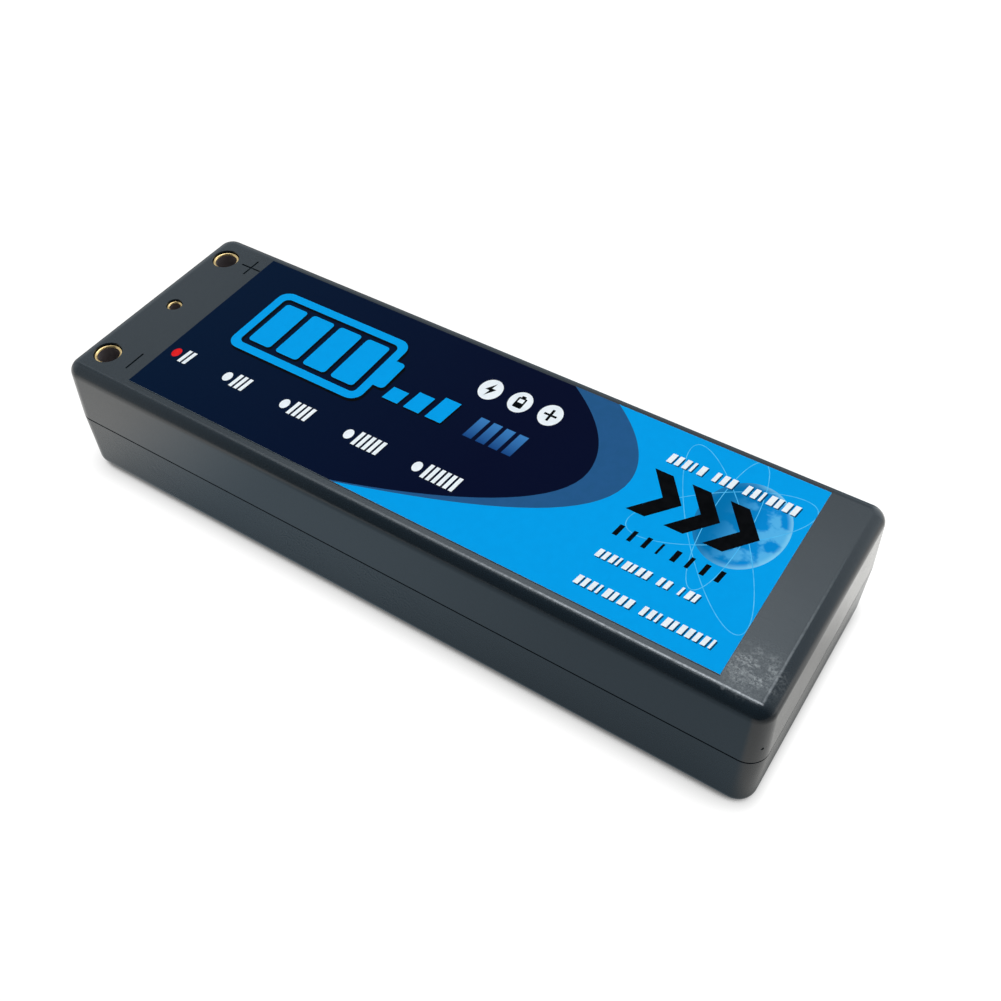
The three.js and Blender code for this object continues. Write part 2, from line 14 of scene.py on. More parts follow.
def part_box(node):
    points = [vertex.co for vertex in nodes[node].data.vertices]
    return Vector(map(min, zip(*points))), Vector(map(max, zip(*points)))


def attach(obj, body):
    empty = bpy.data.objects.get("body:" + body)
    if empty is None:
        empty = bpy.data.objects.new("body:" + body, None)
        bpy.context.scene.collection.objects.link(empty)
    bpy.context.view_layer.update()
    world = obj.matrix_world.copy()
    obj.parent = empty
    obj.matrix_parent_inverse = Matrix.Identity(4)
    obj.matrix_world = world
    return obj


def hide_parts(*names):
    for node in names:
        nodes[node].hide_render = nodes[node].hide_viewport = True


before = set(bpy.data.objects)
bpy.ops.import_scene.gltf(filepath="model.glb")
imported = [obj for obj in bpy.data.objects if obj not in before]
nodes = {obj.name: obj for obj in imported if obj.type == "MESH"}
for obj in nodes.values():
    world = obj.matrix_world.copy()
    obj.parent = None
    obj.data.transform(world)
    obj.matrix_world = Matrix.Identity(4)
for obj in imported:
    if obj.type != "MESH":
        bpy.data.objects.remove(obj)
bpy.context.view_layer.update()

MM = 0.001
BODY = "root"


def mm_box(node):
    """Lowest and highest corners of a CAD node, in millimetres."""
    low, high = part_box(node)
    return low / MM, high / MM


# ---- sizes ----------------------------------------------------------------------------------

UPPER_LOW, UPPER_HIGH = mm_box("upper_case")
LOWER_LOW, LOWER_HIGH = mm_box("lower_case")
LABEL_LOW, LABEL_HIGH = mm_box("top_label")

HALF_LENGTH = LOWER_HIGH.x
HALF_WIDTH = LOWER_HIGH.y
TOP = UPPER_HIGH.z
LOWER_RIM = LOWER_HIGH.z
UPPER_RIM = LOWER_RIM + 0.1
CORNER = 3.4
TOP_DRAFT = 0.4
BOTTOM_DRAFT = 0.2
TOP_FILLET = 2.3
BOTTOM_FILLET = 2.2
WALL = 1.6
CAVITY_HALF_LENGTH = 67.2
CAVITY_HALF_WIDTH = 21.45
CAVITY_CORNER = 2.6
LIP = 0.75
REBATE = 0.85
LIP_BOTTOM = UPPER_LOW.z
REBATE_FLOOR = LIP_BOTTOM - 0.4
CORNER_STEPS = 20
FILLET_STEPS = 12

# Groove along the seam: how far each half is stepped back from the joint, and how deep
GROOVE_STEP = 0.085
GROOVE_DEPTH = 0.6
EDGE_BREAK = 0.03

SOCKET_GAP = 0.1
SLEEVE_WALL = 0.9
HOLE_BREAK = 0.07
SOCKET_FACETS = 96
SOCKETS = ("positive_socket", "negative_socket", "balance_socket")
SLEEVE_BOTTOMS = {"positive_socket": 13.0, "negative_socket": 13.0, "balance_socket": 15.0}

MARK_LENGTH = 4.5
MARK_STROKE = 0.35
MARK_DEPTH = 0.25
PLUS_PLACE = (-57.4, 16.5)
MINUS_PLACE = (-57.7, -15.2)

# Small round pit in the +X -Y corner, and the corner step at which it lies
PIT_HEIGHT = 16.4
PIT_RADIUS = 0.3
PIT_DEPTH = 0.5
PIT_STEP = 12
PIT_FIRST = 3 * (CORNER_STEPS + 1) + PIT_STEP


# ---- mesh building --------------------------------------------------------------------------

def circle(x, y, radius, count):
    step = 2 * math.pi / count
    return [(x + radius * math.cos(i * step), y + radius * math.sin(i * step)) for i in range(count)]


def rounded_outline(half_length, half_width, radius, steps=CORNER_STEPS, centre=(0, 0)):
    """Rounded rectangle, anticlockwise, starting on the +X side of the +X+Y corner."""
    outline = []
    signs = ((1, 1), (-1, 1), (-1, -1), (1, -1))
    for quarter, (sx, sy) in enumerate(signs):
        cx = centre[0] + sx * (half_length - radius)
        cy = centre[1] + sy * (half_width - radius)
        for step in range(steps + 1):
            angle = math.pi / 2 * (quarter + step / steps)
            outline.append((cx + radius * math.cos(angle), cy + radius * math.sin(angle)))
    return outline


class Solid:
    """Closed mesh made from loops of points that are joined, bridged and filled."""

    def __init__(self):
        self.mesh = bmesh.new()

    def loop(self, outline, z):
        return [self.mesh.verts.new((x, y, z)) for x, y in outline]

    def bridge(self, first, second):
        count = len(first)
        for i in range(count):
            j = (i + 1) % count
            self.mesh.faces.new((first[i], first[j], second[j], second[i]))

    def skin(self, loops):
        for first, second in zip(loops, loops[1:]):
            self.bridge(first, second)

    def fill(self, loops):
        """Flat face bounded by the first loop, with the other loops as holes."""
        edges = []
        for ring in loops:
            for first, second in zip(ring, ring[1:] + ring[:1]):
                edges.append(self.mesh.edges.get((first, second)) or self.mesh.edges.new((first, second)))
        bmesh.ops.triangle_fill(self.mesh, use_beauty=True, edges=edges)

    def pit(self, outline, z, depth):
        """Sunk flat-bottomed mark. Returns the loop at its mouth."""
        mouth = self.loop(outline, z)
        floor = self.loop(outline, z - depth)
        self.bridge(mouth, floor)
        self.fill([floor])
        return mouth

    def finish(self, name, materials, sharp_degrees=35.0):
        bmesh.ops.recalc_face_normals(self.mesh, faces=self.mesh.faces)
        bmesh.ops.scale(self.mesh, vec=(MM, MM, MM), verts=self.mesh.verts)
        data = bpy.data.meshes.new(name)
        self.mesh.to_mesh(data)
        self.mesh.free()
        for material in materials:
            data.materials.append(material)
        piece = bpy.data.objects.new(name, data)
        bpy.context.scene.collection.objects.link(piece)
        data.shade_smooth()
        data.set_sharp_from_angle(angle=math.radians(sharp_degrees))
        weigh = piece.modifiers.new("weighted_normals", "WEIGHTED_NORMAL")
        weigh.keep_sharp = True
        return piece


def stand_for(piece, node):
    """The piece rides on the body and takes the place of a CAD node."""
    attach(piece, BODY)
    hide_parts(node)
    return piece


# ---- materials ------------------------------------------------------------------------------

class Pattern:
    """Node tree with a few helpers for procedural patterns."""

    def __init__(self, tree, coordinates):
        self.nodes = tree.nodes
        self.links = tree.links
        self.place = self.nodes.new("ShaderNodeTexCoord").outputs[coordinates]

    def node(self, kind, inputs=None, **settings):
        made = self.nodes.new(kind)
        for key, value in settings.items():
            setattr(made, key, value)
        for key, value in (inputs or {}).items():
            if isinstance(value, bpy.types.NodeSocket):
                self.links.new(value, made.inputs[key])
            else:
                made.inputs[key].default_value = value
        return made

    def stretched(self, scale, turn=(0, 0, 0)):
        mapping = self.node("ShaderNodeMapping", {"Vector": self.place, "Scale": scale, "Rotation": turn})
        return mapping.outputs["Vector"]

    def noise(self, scale, detail=2.0, vector=None, roughness=0.5):
        made = self.node("ShaderNodeTexNoise", {
            "Vector": vector or self.place, "Scale": scale, "Detail": detail, "Roughness": roughness})
        return made.outputs["Fac"]

    def voronoi(self, scale, feature="F1"):
        made = self.node("ShaderNodeTexVoronoi", {"Vector": self.place, "Scale": scale}, feature=feature)
        return made.outputs["Distance"]

    def map(self, value, low, high, to_low=0.0, to_high=1.0, smooth=False):
        made = self.node("ShaderNodeMapRange", {
            "Value": value, "From Min": low, "From Max": high, "To Min": to_low, "To Max": to_high},
            interpolation_type="SMOOTHSTEP" if smooth else "LINEAR")
        return made.outputs["Result"]

    def math(self, operation, first, second=0.0):
        return self.node("ShaderNodeMath", {0: first, 1: second}, operation=operation).outputs[0]

    def product(self, *values):
        total = values[0]
        for value in values[1:]:
            total = self.math("MULTIPLY", total, value)
        return total

    def sum(self, *values):
        total = values[0]
        for value in values[1:]:
            total = self.math("ADD", total, value)
        return total

    def ease(self, value, low, high, to_low=0.0, to_high=1.0):
        return self.map(value, low, high, to_low, to_high, smooth=True)

    def near(self, value, middle, inner, outer):
        """One where the value is within inner of the middle, fading to nothing at outer."""
        return self.ease(self.math("ABSOLUTE", self.math("SUBTRACT", value, middle)), outer, inner)

    def mix(self, factor, first, second):
        made = self.node("ShaderNodeMix", {"Factor": factor, "A": first, "B": second}, data_type="RGBA")
        return made.outputs["Result"]

    def axes(self):
        return self.node("ShaderNodeSeparateXYZ", {"Vector": self.place}).outputs

    def distance(self, point):
        made = self.node("ShaderNodeVectorMath", {0: self.place, 1: point}, operation="DISTANCE")
        return made.outputs["Value"]

    def bump(self, height, depth, strength, after=None):
        inputs = {"Height": height, "Strength": strength, "Distance": depth}
        if after:
            inputs["Normal"] = after
        return self.node("ShaderNodeBump", inputs).outputs["Normal"]


class Shader(Pattern):
    """Principled material whose patterns follow the object's own coordinates."""

    def __init__(self, name, **fixed):
        self.material = bpy.data.materials.new(name)
        self.material.use_nodes = True
        super().__init__(self.material.node_tree, "Object")
        self.bsdf = self.nodes["Principled BSDF"]
        for socket, value in fixed.items():
            self.bsdf.inputs[socket.replace("_", " ")].default_value = value

    def connect(self, **outputs):
        for socket, value in outputs.items():
            self.links.new(value, self.bsdf.inputs[socket.replace("_", " ")])
        return self.material


def rgb(red, green, blue):
    return (red, green, blue, 1.0)


def screen(red, green, blue):
    """Linear colour from the 0 to 255 numbers that a screen shows."""
    def linear(value):
        value = value / 255
        return value / 12.92 if value <= 0.04045 else ((value + 0.055) / 1.055) ** 2.4
    return rgb(linear(red), linear(green), linear(blue))


SCUFF_PLACE = (0.0630, -0.0163, TOP * MM)
NICK_PLACE = (0.0606, -0.0211, 0.02494)
TOP_EDGE_Y = -(HALF_WIDTH - TOP_DRAFT - TOP_FILLET - 0.02) * MM
TOP_EDGE_X = (HALF_LENGTH - TOP_DRAFT - TOP_FILLET) * MM


def painted_edge_highlight(shader):
    """Painted highlight: thin bright line along the top edge, strongest at the +X -Y corner, broken up by
    noise.
    """
    axes = shader.axes()
    on_top = shader.ease(axes["Z"], (TOP - 0.25) * MM, (TOP - 0.1) * MM)
    near_side = shader.product(
        shader.near(axes["Y"], TOP_EDGE_Y - 0.00014, 0.00006, 0.00022),
        shader.ease(axes["X"], -0.015, 0.064, 0.04, 1.0),
        shader.ease(axes["X"], TOP_EDGE_X + 0.0003, TOP_EDGE_X))
    end = shader.product(
        shader.near(axes["X"], TOP_EDGE_X, 0.00006, 0.00025),
        shader.ease(axes["Y"], TOP_EDGE_Y - 0.0003, TOP_EDGE_Y),
        shader.ease(axes["Y"], 0.012, -0.019, 0.0, 0.3))
    broken = shader.map(shader.noise(1500, 3.0), 0.35, 0.6, 0.45, 1.0)
    return shader.product(shader.sum(near_side, end), on_top, broken)


def case_plastic():
    """Satin black plastic with a fine spark-eroded grain, faint scratches, one scuffed patch and a painted
    highlight line along the top edge.
    """
    shader = Shader("case_plastic")
    grain = shader.noise(4200, 3.0)
    broad = shader.noise(90, 3.0)
    specks = shader.map(shader.voronoi(2600), 0.10, 0.02)
    near_scuff = shader.ease(shader.distance(SCUFF_PLACE), 0.0060, 0.0005)
    scuff_grain = shader.map(shader.noise(2500, 4.0, roughness=0.7), 0.42, 0.64)
    scuff_clumps = shader.map(shader.noise(480, 2.0), 0.38, 0.60, 0.15, 1.0)
    scuff = shader.product(near_scuff, scuff_grain, scuff_clumps)
    nick = shader.ease(shader.distance(NICK_PLACE), 0.00045, 0.0001)
    base = shader.mix(grain, rgb(0.004, 0.010, 0.016), rgb(0.009, 0.018, 0.026))
    base = shader.mix(shader.product(specks, 0.24), base, rgb(0.09, 0.10, 0.11))
    base = shader.mix(scuff, base, rgb(0.32, 0.33, 0.33))
    base = shader.mix(shader.product(nick, 0.25), base, rgb(0.3, 0.32, 0.34))
    # Painted highlight: the line along the top edge is mixed toward pale grey.
    base = shader.mix(painted_edge_highlight(shader), base, rgb(0.42, 0.43, 0.45))
    lower_half = shader.ease(shader.axes()["Z"], UPPER_RIM * MM, LOWER_RIM * MM)
    rough = shader.map(shader.sum(grain, broad), 0.7, 1.3, 0.17, 0.23)
    rough = shader.sum(rough, shader.product(lower_half, 0.07))
    gloss = shader.map(lower_half, 0.0, 1.0, 0.5, 0.38)
    scratch = shader.noise(260, 2.0, shader.stretched((1.0, 14.0, 14.0), (0.2, 0.1, 0.5)))
    normal = shader.bump(grain, 0.00003, 0.45)
    normal = shader.bump(shader.map(scratch, 0.62, 0.72), 0.00001, 0.35, normal)
    return shader.connect(Base_Color=base, Roughness=rough, Specular_IOR_Level=gloss, Normal=normal)


def socket_gold():
    """Polished gold plate with fine turning lines round the bore."""
    shader = Shader("socket_gold", Metallic=1.0)
    tint = shader.mix(shader.noise(1500, 3.0), screen(222, 184, 120), screen(244, 214, 158))
    rough = shader.map(shader.noise(2500, 2.0), 0.3, 0.7, 0.16, 0.30)
    lines = shader.noise(900, 2.0, shader.stretched((1.0, 1.0, 30.0)))
    return shader.connect(Base_Color=tint, Roughness=rough, Normal=shader.bump(lines, 0.00001, 0.3))


def shaded_bore():
    """Inside of a socket: dull grey-brown metal, a darker copy of the gold that paints the shade of the
    deep bore.
    """
    shader = Shader("shaded_bore", Metallic=0.2, Specular_IOR_Level=0.2)
    tint = shader.mix(shader.noise(900, 3.0), screen(122, 114, 116), screen(142, 132, 132))
    rough = shader.map(shader.noise(1700, 2.0), 0.3, 0.7, 0.5, 0.65)
    return shader.connect(Base_Color=tint, Roughness=rough)


INK_GLOSS = 0.015
INK_ROUGHNESS = 0.5
INK_MOTTLE = 700.0


def ink(name, dark, light, fade=None):
    """Printed ink under a thin film. With fade, (axis, low, high), the colour runs along that axis."""
    shader = Shader(name, Specular_IOR_Level=INK_GLOSS)
    blotch = shader.noise(INK_MOTTLE, 2.0)
    if fade:
        axis, low, high = fade
        run = shader.map(shader.axes()[axis], low * MM, high * MM)
        run = shader.math("ADD", run, shader.map(blotch, 0.3, 0.7, -0.02, 0.02))
        colour = shader.mix(run, dark, light)
    else:
        colour = shader.mix(shader.map(blotch, 0.35, 0.65), dark, light)
    rough = shader.map(shader.noise(2400, 2.0), 0.3, 0.7, INK_ROUGHNESS - 0.05, INK_ROUGHNESS + 0.05)
    film = shader.bump(shader.noise(120, 2.0), 0.00001, 0.2)
    return shader.connect(Base_Color=colour, Roughness=rough, Normal=film)


# Centre and half-axes of the ball on the label
GLOBE = (50.5, 7.0, 7.3, 9.2)


def globe_ink():
    """Faint ball, as if seen through: soft pale patches, a darker left side and a pale rim on the right."""
    shader = Shader("ink_globe", Specular_IOR_Level=INK_GLOSS, Roughness=INK_ROUGHNESS)
    x, y, half_x, half_y = GLOBE
    centred = shader.node("ShaderNodeVectorMath", {
        0: shader.place, 1: (x * MM, y * MM, 0)}, operation="SUBTRACT")
    scaled = shader.node("ShaderNodeVectorMath", {
        0: centred.outputs[0], 1: (1 / (half_x * MM), 1 / (half_y * MM), 0)}, operation="MULTIPLY")
    reach = shader.node("ShaderNodeVectorMath", {0: scaled.outputs[0]}, operation="LENGTH").outputs["Value"]
    across = shader.node("ShaderNodeSeparateXYZ", {"Vector": scaled.outputs[0]}).outputs["X"]
    patches = shader.ease(shader.noise(230, 4.0), 0.47, 0.57)
    lit = shader.ease(across, -0.6, 0.6)
    colour = shader.mix(lit, screen(0, 115, 174), screen(2, 140, 214))
    colour = shader.mix(shader.product(patches, lit, 0.7), colour, screen(104, 196, 240))
    rim = shader.product(shader.ease(reach, 0.86, 1.0), shader.map(lit, 0.0, 1.0, 0.05, 0.75))
    colour = shader.mix(rim, colour, screen(140, 214, 246))
    return shader.connect(Base_Color=colour, Normal=shader.bump(shader.noise(120, 2.0), 0.00001, 0.2))


def inks():
    """Every ink of the label, by name."""
    return {
        "navy": ink("ink_navy", screen(3, 24, 50), screen(4, 11, 40), fade=("X", -54.0, 10.0)),
        "crescent": ink("ink_crescent", screen(37, 88, 135), screen(39, 90, 139)),
        "cyan": ink("ink_cyan", screen(0, 160, 233), screen(0, 162, 235)),
        "black": ink("ink_black", screen(3, 4, 6), screen(9, 10, 13)),
        "white": ink("ink_white", screen(240, 243, 245), screen(250, 251, 252)),
        "red": ink("ink_red", screen(226, 24, 30), screen(240, 38, 40)),
        "steel": ink("ink_steel", screen(24, 70, 130), screen(62, 128, 190), fade=("Y", 0.3, 5.5)),
        "shade": ink("ink_shade", screen(4, 66, 104), screen(6, 74, 114)),
        "orbit": ink("ink_orbit", screen(70, 186, 240), screen(98, 200, 244)),
        "globe": globe_ink(),
        "edge": ink("film_edge", screen(190, 205, 214), screen(214, 224, 230)),
    }


def metal(name, dark, light, rough=(0.25, 0.4), streak=(1.0, 12.0, 1.0)):
    """Rolled metal with fine streaks."""
    shader = Shader(name, Metallic=1.0)
    lines = shader.noise(500, 3.0, shader.stretched(streak))
    colour = shader.mix(lines, dark, light)
    worn = shader.map(shader.noise(800, 2.0), 0.3, 0.7, rough[0], rough[1])
    return shader.connect(Base_Color=colour, Roughness=worn, Normal=shader.bump(lines, 0.00002, 0.3))


def pouch_film():
    """Crinkled satin aluminium laminate."""
    shader = Shader("pouch_film", Metallic=0.75)
    crinkle = shader.voronoi(160, "SMOOTH_F1")
    fine = shader.noise(900, 3.0)
    colour = shader.mix(fine, screen(176, 180, 184), screen(204, 208, 212))
    rough = shader.map(fine, 0.3, 0.7, 0.32, 0.46)
    return shader.connect(Base_Color=colour, Roughness=rough, Normal=shader.bump(crinkle, 0.0002, 0.25))


def soft(name, dark, light, scale, depth, roughness=0.85, cells=False):
    """Foam, paper, tape or glue: one colour with a pore or fibre pattern."""
    shader = Shader(name, Specular_IOR_Level=0.25)
    pattern = shader.voronoi(scale) if cells else shader.noise(scale, 4.0, roughness=0.65)
    colour = shader.mix(shader.map(pattern, 0.25, 0.75), dark, light)
    rough = shader.map(pattern, 0.2, 0.8, roughness - 0.08, roughness + 0.08)
    return shader.connect(Base_Color=colour, Roughness=rough, Normal=shader.bump(pattern, depth, 0.6))


def board_laminate():
    """Green solder mask over a glass weave."""
    shader = Shader("board_laminate", Specular_IOR_Level=0.5)
    warp = shader.noise(260, 1.0, shader.stretched((1.0, 18.0, 1.0)))
    weft = shader.noise(260, 1.0, shader.stretched((18.0, 1.0, 1.0)))
    weave = shader.math("ADD", warp, weft)
    colour = shader.mix(shader.map(weave, 0.8, 1.2), rgb(0.008, 0.075, 0.03), rgb(0.016, 0.12, 0.05))
    rough = shader.map(shader.noise(1200, 2.0), 0.3, 0.7, 0.25, 0.36)
    return shader.connect(Base_Color=colour, Roughness=rough, Normal=shader.bump(weave, 0.00003, 0.4))


# ---- case -----------------------------------------------------------------------------------

def outer_loop(solid, z, inset):
    outline = rounded_outline(HALF_LENGTH - inset, HALF_WIDTH - inset, CORNER - inset)
    return solid.loop(outline, z)


def cavity_loop(solid, z, outset=0.0):
    outline = rounded_outline(
        CAVITY_HALF_LENGTH + outset, CAVITY_HALF_WIDTH + outset, CAVITY_CORNER + outset)
    return solid.loop(outline, z)


def fillet_loops(solid, face, upward, fillet, draft):
    """Loops round the rounded edge, from the wall to the flat face."""
    loops = []
    for step in range(FILLET_STEPS + 1):
        angle = math.pi / 2 * step / FILLET_STEPS
        inset = draft + fillet * (1 - math.cos(angle))
        loops.append(outer_loop(solid, face - upward * fillet * (1 - math.sin(angle)), inset))
    return loops


def drafted_inset(z):
    """How far the upper wall has drawn in at height z."""
    start = UPPER_RIM + GROOVE_STEP + EDGE_BREAK
    return TOP_DRAFT * (z - start) / (TOP - TOP_FILLET - start)


def grooved_rim(solid, rim, away):
    """Loops from the joint face out to the wall, stepped back along the seam."""
    step = rim + away * GROOVE_STEP
    return [
        outer_loop(solid, rim, GROOVE_DEPTH),
        outer_loop(solid, step, GROOVE_DEPTH),
        outer_loop(solid, step, EDGE_BREAK),
        outer_loop(solid, step + away * EDGE_BREAK, 0),
    ]


def sink_corner_pit(loops):
    """Pulls a three-by-three patch of wall points into a small round hole."""
    rows = [loop[PIT_FIRST - 1:PIT_FIRST + 2] for loop in loops]
    centre = rows[1][1].co.copy()
    inward = Vector((0, 0, centre.z)) - centre
    inward = inward.normalized()
    for row in rows:
        for vertex in row:
            away = vertex.co - centre
            if away.length > 0:
                vertex.co = centre + away.normalized() * PIT_RADIUS
    rows[1][1].co = centre + inward * PIT_DEPTH


def socket_axis(node):
    low, high = mm_box(node)
    return (low.x + high.x) / 2, (low.y + high.y) / 2, (high.x - low.x) / 2, high.z


def plus_outline(x, y):
    arm = MARK_LENGTH / 2
    half = MARK_STROKE / 2
    quarter = ((arm, half), (half, half), (half, arm))
    outline = []
    for turn in range(4):
        for u, v in quarter:
            for _ in range(turn):
                u, v = -v, u
            outline.append((x + u, y + v))
    return outline


def minus_outline(x, y):
    arm = MARK_LENGTH / 2
    half = MARK_STROKE / 2
    return [(x + half, y - arm), (x + half, y + arm), (x - half, y + arm), (x - half, y - arm)]


def upper_shell(plastic):
    solid = Solid()
    wall = grooved_rim(solid, UPPER_RIM, 1)
    pit_loops = []
    for z in (PIT_HEIGHT - PIT_RADIUS, PIT_HEIGHT, PIT_HEIGHT + PIT_RADIUS):
        pit_loops.append(outer_loop(solid, z, drafted_inset(z)))
    sink_corner_pit(pit_loops)
    fillet = fillet_loops(solid, TOP, 1, TOP_FILLET, TOP_DRAFT)
    seat = cavity_loop(solid, UPPER_RIM, LIP)
    inside = [
        seat,
        cavity_loop(solid, LIP_BOTTOM, LIP),
        cavity_loop(solid, LIP_BOTTOM),
        cavity_loop(solid, TOP - WALL),
    ]
    solid.skin(wall + pit_loops + fillet)
    solid.bridge(wall[0], seat)
    solid.skin(inside)
    mouths = []
    sleeves = []
    for node in SOCKETS:
        x, y, radius, _ = socket_axis(node)
        hole = radius + SOCKET_GAP
        bottom = SLEEVE_BOTTOMS[node]
        levels = [
            (hole + HOLE_BREAK, TOP),
            (hole, TOP - HOLE_BREAK),
            (hole, bottom),
            (hole + SLEEVE_WALL, bottom),
            (hole + SLEEVE_WALL, TOP - WALL),
        ]
        loops = [solid.loop(circle(x, y, r, SOCKET_FACETS), z) for r, z in levels]
        solid.skin(loops)
        mouths.append(loops[0])
        sleeves.append(loops[-1])
    marks = [
        solid.pit(plus_outline(*PLUS_PLACE), TOP, MARK_DEPTH),
        solid.pit(minus_outline(*MINUS_PLACE), TOP, MARK_DEPTH),
    ]
    solid.fill([fillet[-1], *mouths, *marks])
    solid.fill([inside[-1], *sleeves])
    return stand_for(solid.finish("upper_shell", [plastic]), "upper_case")


EJECTOR_PLACES = ((-52, -13), (-52, 13), (0, -13), (0, 13), (52, -13), (52, 13))
EJECTOR_RADIUS = 2.5
EJECTOR_DEPTH = 0.12


def lower_shell(plastic):
    solid = Solid()
    wall = grooved_rim(solid, LOWER_RIM, -1)
    fillet = fillet_loops(solid, 0.0, -1, BOTTOM_FILLET, BOTTOM_DRAFT)
    inside = [
        wall[0],
        cavity_loop(solid, LOWER_RIM, REBATE),
        cavity_loop(solid, REBATE_FLOOR, REBATE),
        cavity_loop(solid, REBATE_FLOOR),
        cavity_loop(solid, WALL),
    ]
    solid.skin(wall + fillet)
    solid.skin(inside)
    marks = []
    for x, y in EJECTOR_PLACES:
        marks.append(solid.pit(circle(x, y, EJECTOR_RADIUS, 48), 0.0, -EJECTOR_DEPTH))
    solid.fill([fillet[-1], *marks])
    solid.fill([inside[-1]])
    return stand_for(solid.finish("lower_shell", [plastic]), "lower_case")


# ---- sockets --------------------------------------------------------------------------------

POWER_BORE = 2.0
BALANCE_BORE = 1.0
POWER_BORE_DEPTH = 12.0
BALANCE_BORE_DEPTH = 9.0
POWER_STUB = 1.2
BALANCE_STUB = 0.5
SOCKET_BASE = 1.75
BASE_CHAMFER = 0.15
BORE_CHAMFER = 0.2
# How far below the rim the gold reaches before the bore's painted shade starts
BORE_SHADE_START = 0.34
LIP_FALL = 0.17
LIP_STEPS = 8


def socket_piece(node, gold, shaded_bore_metal):
    """Turned bullet socket: rim falling inward, straight bore, shouldered base and solder stub."""
    low, high = mm_box(node)
    x, y, outer, rim = socket_axis(node)
    is_power = outer > POWER_BORE
    bore = POWER_BORE if is_power else BALANCE_BORE
    depth = POWER_BORE_DEPTH if is_power else BALANCE_BORE_DEPTH
    stub = POWER_STUB if is_power else BALANCE_STUB
    floor = rim - depth
    base = floor - SOCKET_BASE
    lip = (outer - bore) / 2
    middle = (outer + bore) / 2
    profile = [(stub, low.z), (stub, base), (outer - BASE_CHAMFER, base), (outer, base + BASE_CHAMFER)]
    for step in range(LIP_STEPS + 1):
        angle = math.pi * step / LIP_STEPS
        fall = LIP_FALL * (1 - math.cos(angle)) / 2
        profile.append((middle + lip * math.cos(angle), rim - fall - lip * 0.5 * (1 - math.sin(angle))))
    gold_levels = len(profile)
    profile += [(bore, rim - BORE_SHADE_START), (bore, floor + BORE_CHAMFER), (bore - BORE_CHAMFER, floor)]
    solid = Solid()
    loops = [solid.loop(circle(x, y, r, SOCKET_FACETS), z) for r, z in profile]
    solid.skin(loops)
    solid.fill([loops[0]])
    solid.fill([loops[-1]])
    # Bore faces below the gold take the darker bore metal: painted shade of the deep hole
    dark_top = profile[gold_levels][1] + 0.001
    for face in solid.mesh.faces:
        centre = face.calc_center_median()
        reach = math.hypot(centre.x - x, centre.y - y)
        if reach < bore + 0.001 and floor - 0.001 < centre.z < dark_top:
            face.material_index = 1
    piece = solid.finish(node.replace("socket", "bullet_socket"), [gold, shaded_bore_metal])
    return stand_for(piece, node)


# ---- label ----------------------------------------------------------------------------------

def ellipse(x, y, half_x, half_y, count=48, tilt=0.0):
    """Points on an ellipse that is turned by tilt degrees."""
    turn = math.radians(tilt)
    points = []
    for i in range(count):
        angle = math.radians(360 * i / count)
        u, v = half_x * math.cos(angle), half_y * math.sin(angle)
        points.append((
            x + u * math.cos(turn) - v * math.sin(turn),
            y + u * math.sin(turn) + v * math.cos(turn)))
    return points


def stroke(points, width):
    """Thin band along a closed line of points, as one short quad for each step."""
    left, right = [], []
    count = len(points)
    for i, (x, y) in enumerate(points):
        before = points[i - 1]
        after = points[(i + 1) % count]
        along = Vector((after[0] - before[0], after[1] - before[1])).normalized()
        left.append((x - along.y * width / 2, y + along.x * width / 2))
        right.append((x + along.y * width / 2, y - along.x * width / 2))
    pieces = []
    for i in range(count):
        j = (i + 1) % count
        pieces.append([left[i], right[i], right[j], left[j]])
    return pieces


CURVE_STEPS = 20


def bezier(start, first, second, end):
    points = []
    for i in range(CURVE_STEPS + 1):
        t = i / CURVE_STEPS
        weights = ((1 - t) ** 3, 3 * t * (1 - t) ** 2, 3 * t * t * (1 - t), t ** 3)
        corners = (start, first, second, end)
        points.append(tuple(sum(w * c[k] for w, c in zip(weights, corners)) for k in (0, 1)))
    return points


def rounded_block(x0, y0, x1, y1, radius):
    centre = ((x0 + x1) / 2, (y0 + y1) / 2)
    return rounded_outline((x1 - x0) / 2, (y1 - y0) / 2, radius, 6, centre)


def slanted(x, y, width, height, lean=0.0):
    return [(x, y), (x + width, y), (x + width + lean, y + height), (x + lean, y + height)]


def shifted(outline, dx, dy):
    return [(x + dx, y + dy) for x, y in outline]


PRINT_WIDTHS = (1.0, 0.86, 0.94, 0.5, 1.08, 0.8, 0.98)
PRINT_FILL = 0.68
PRINT_LEAN = 0.3


def print_row(x0, x1, y0, y1, words):
    """Row of slanted blocks set out like a line of print. words is how many blocks each word has."""
    pitch = (x1 - x0 - PRINT_LEAN) / (sum(words) + len(words) - 1)
    blocks = []
    x = x0
    for word in words:
        for _ in range(word):
            width = PRINT_FILL * pitch * PRINT_WIDTHS[len(blocks) % len(PRINT_WIDTHS)]
            blocks.append(slanted(x, y0, width, y1 - y0, PRINT_LEAN))
            x += pitch
        x += pitch
    return blocks


def clipped(outline, low, high):
    """The part of an outline that lies between two corners of a rectangle."""
    for axis in (0, 1):
        for limit, sign in ((low[axis], 1), (high[axis], -1)):
            kept = []
            for before, point in zip(outline[-1:] + outline[:-1], outline):
                inside = sign * (point[axis] - limit) >= 0
                if inside != (sign * (before[axis] - limit) >= 0):
                    share = (limit - before[axis]) / (point[axis] - before[axis])
                    kept.append(tuple(b + share * (p - b) for b, p in zip(before, point)))
                if inside:
                    kept.append(point)
            outline = kept
    return outline


def shadowed(layers, outlines, colour, shadow, dx, dy):
    for outline in outlines:
        layers.append((shadow, shifted(outline, dx, dy)))
    for outline in outlines:
        layers.append((colour, outline))


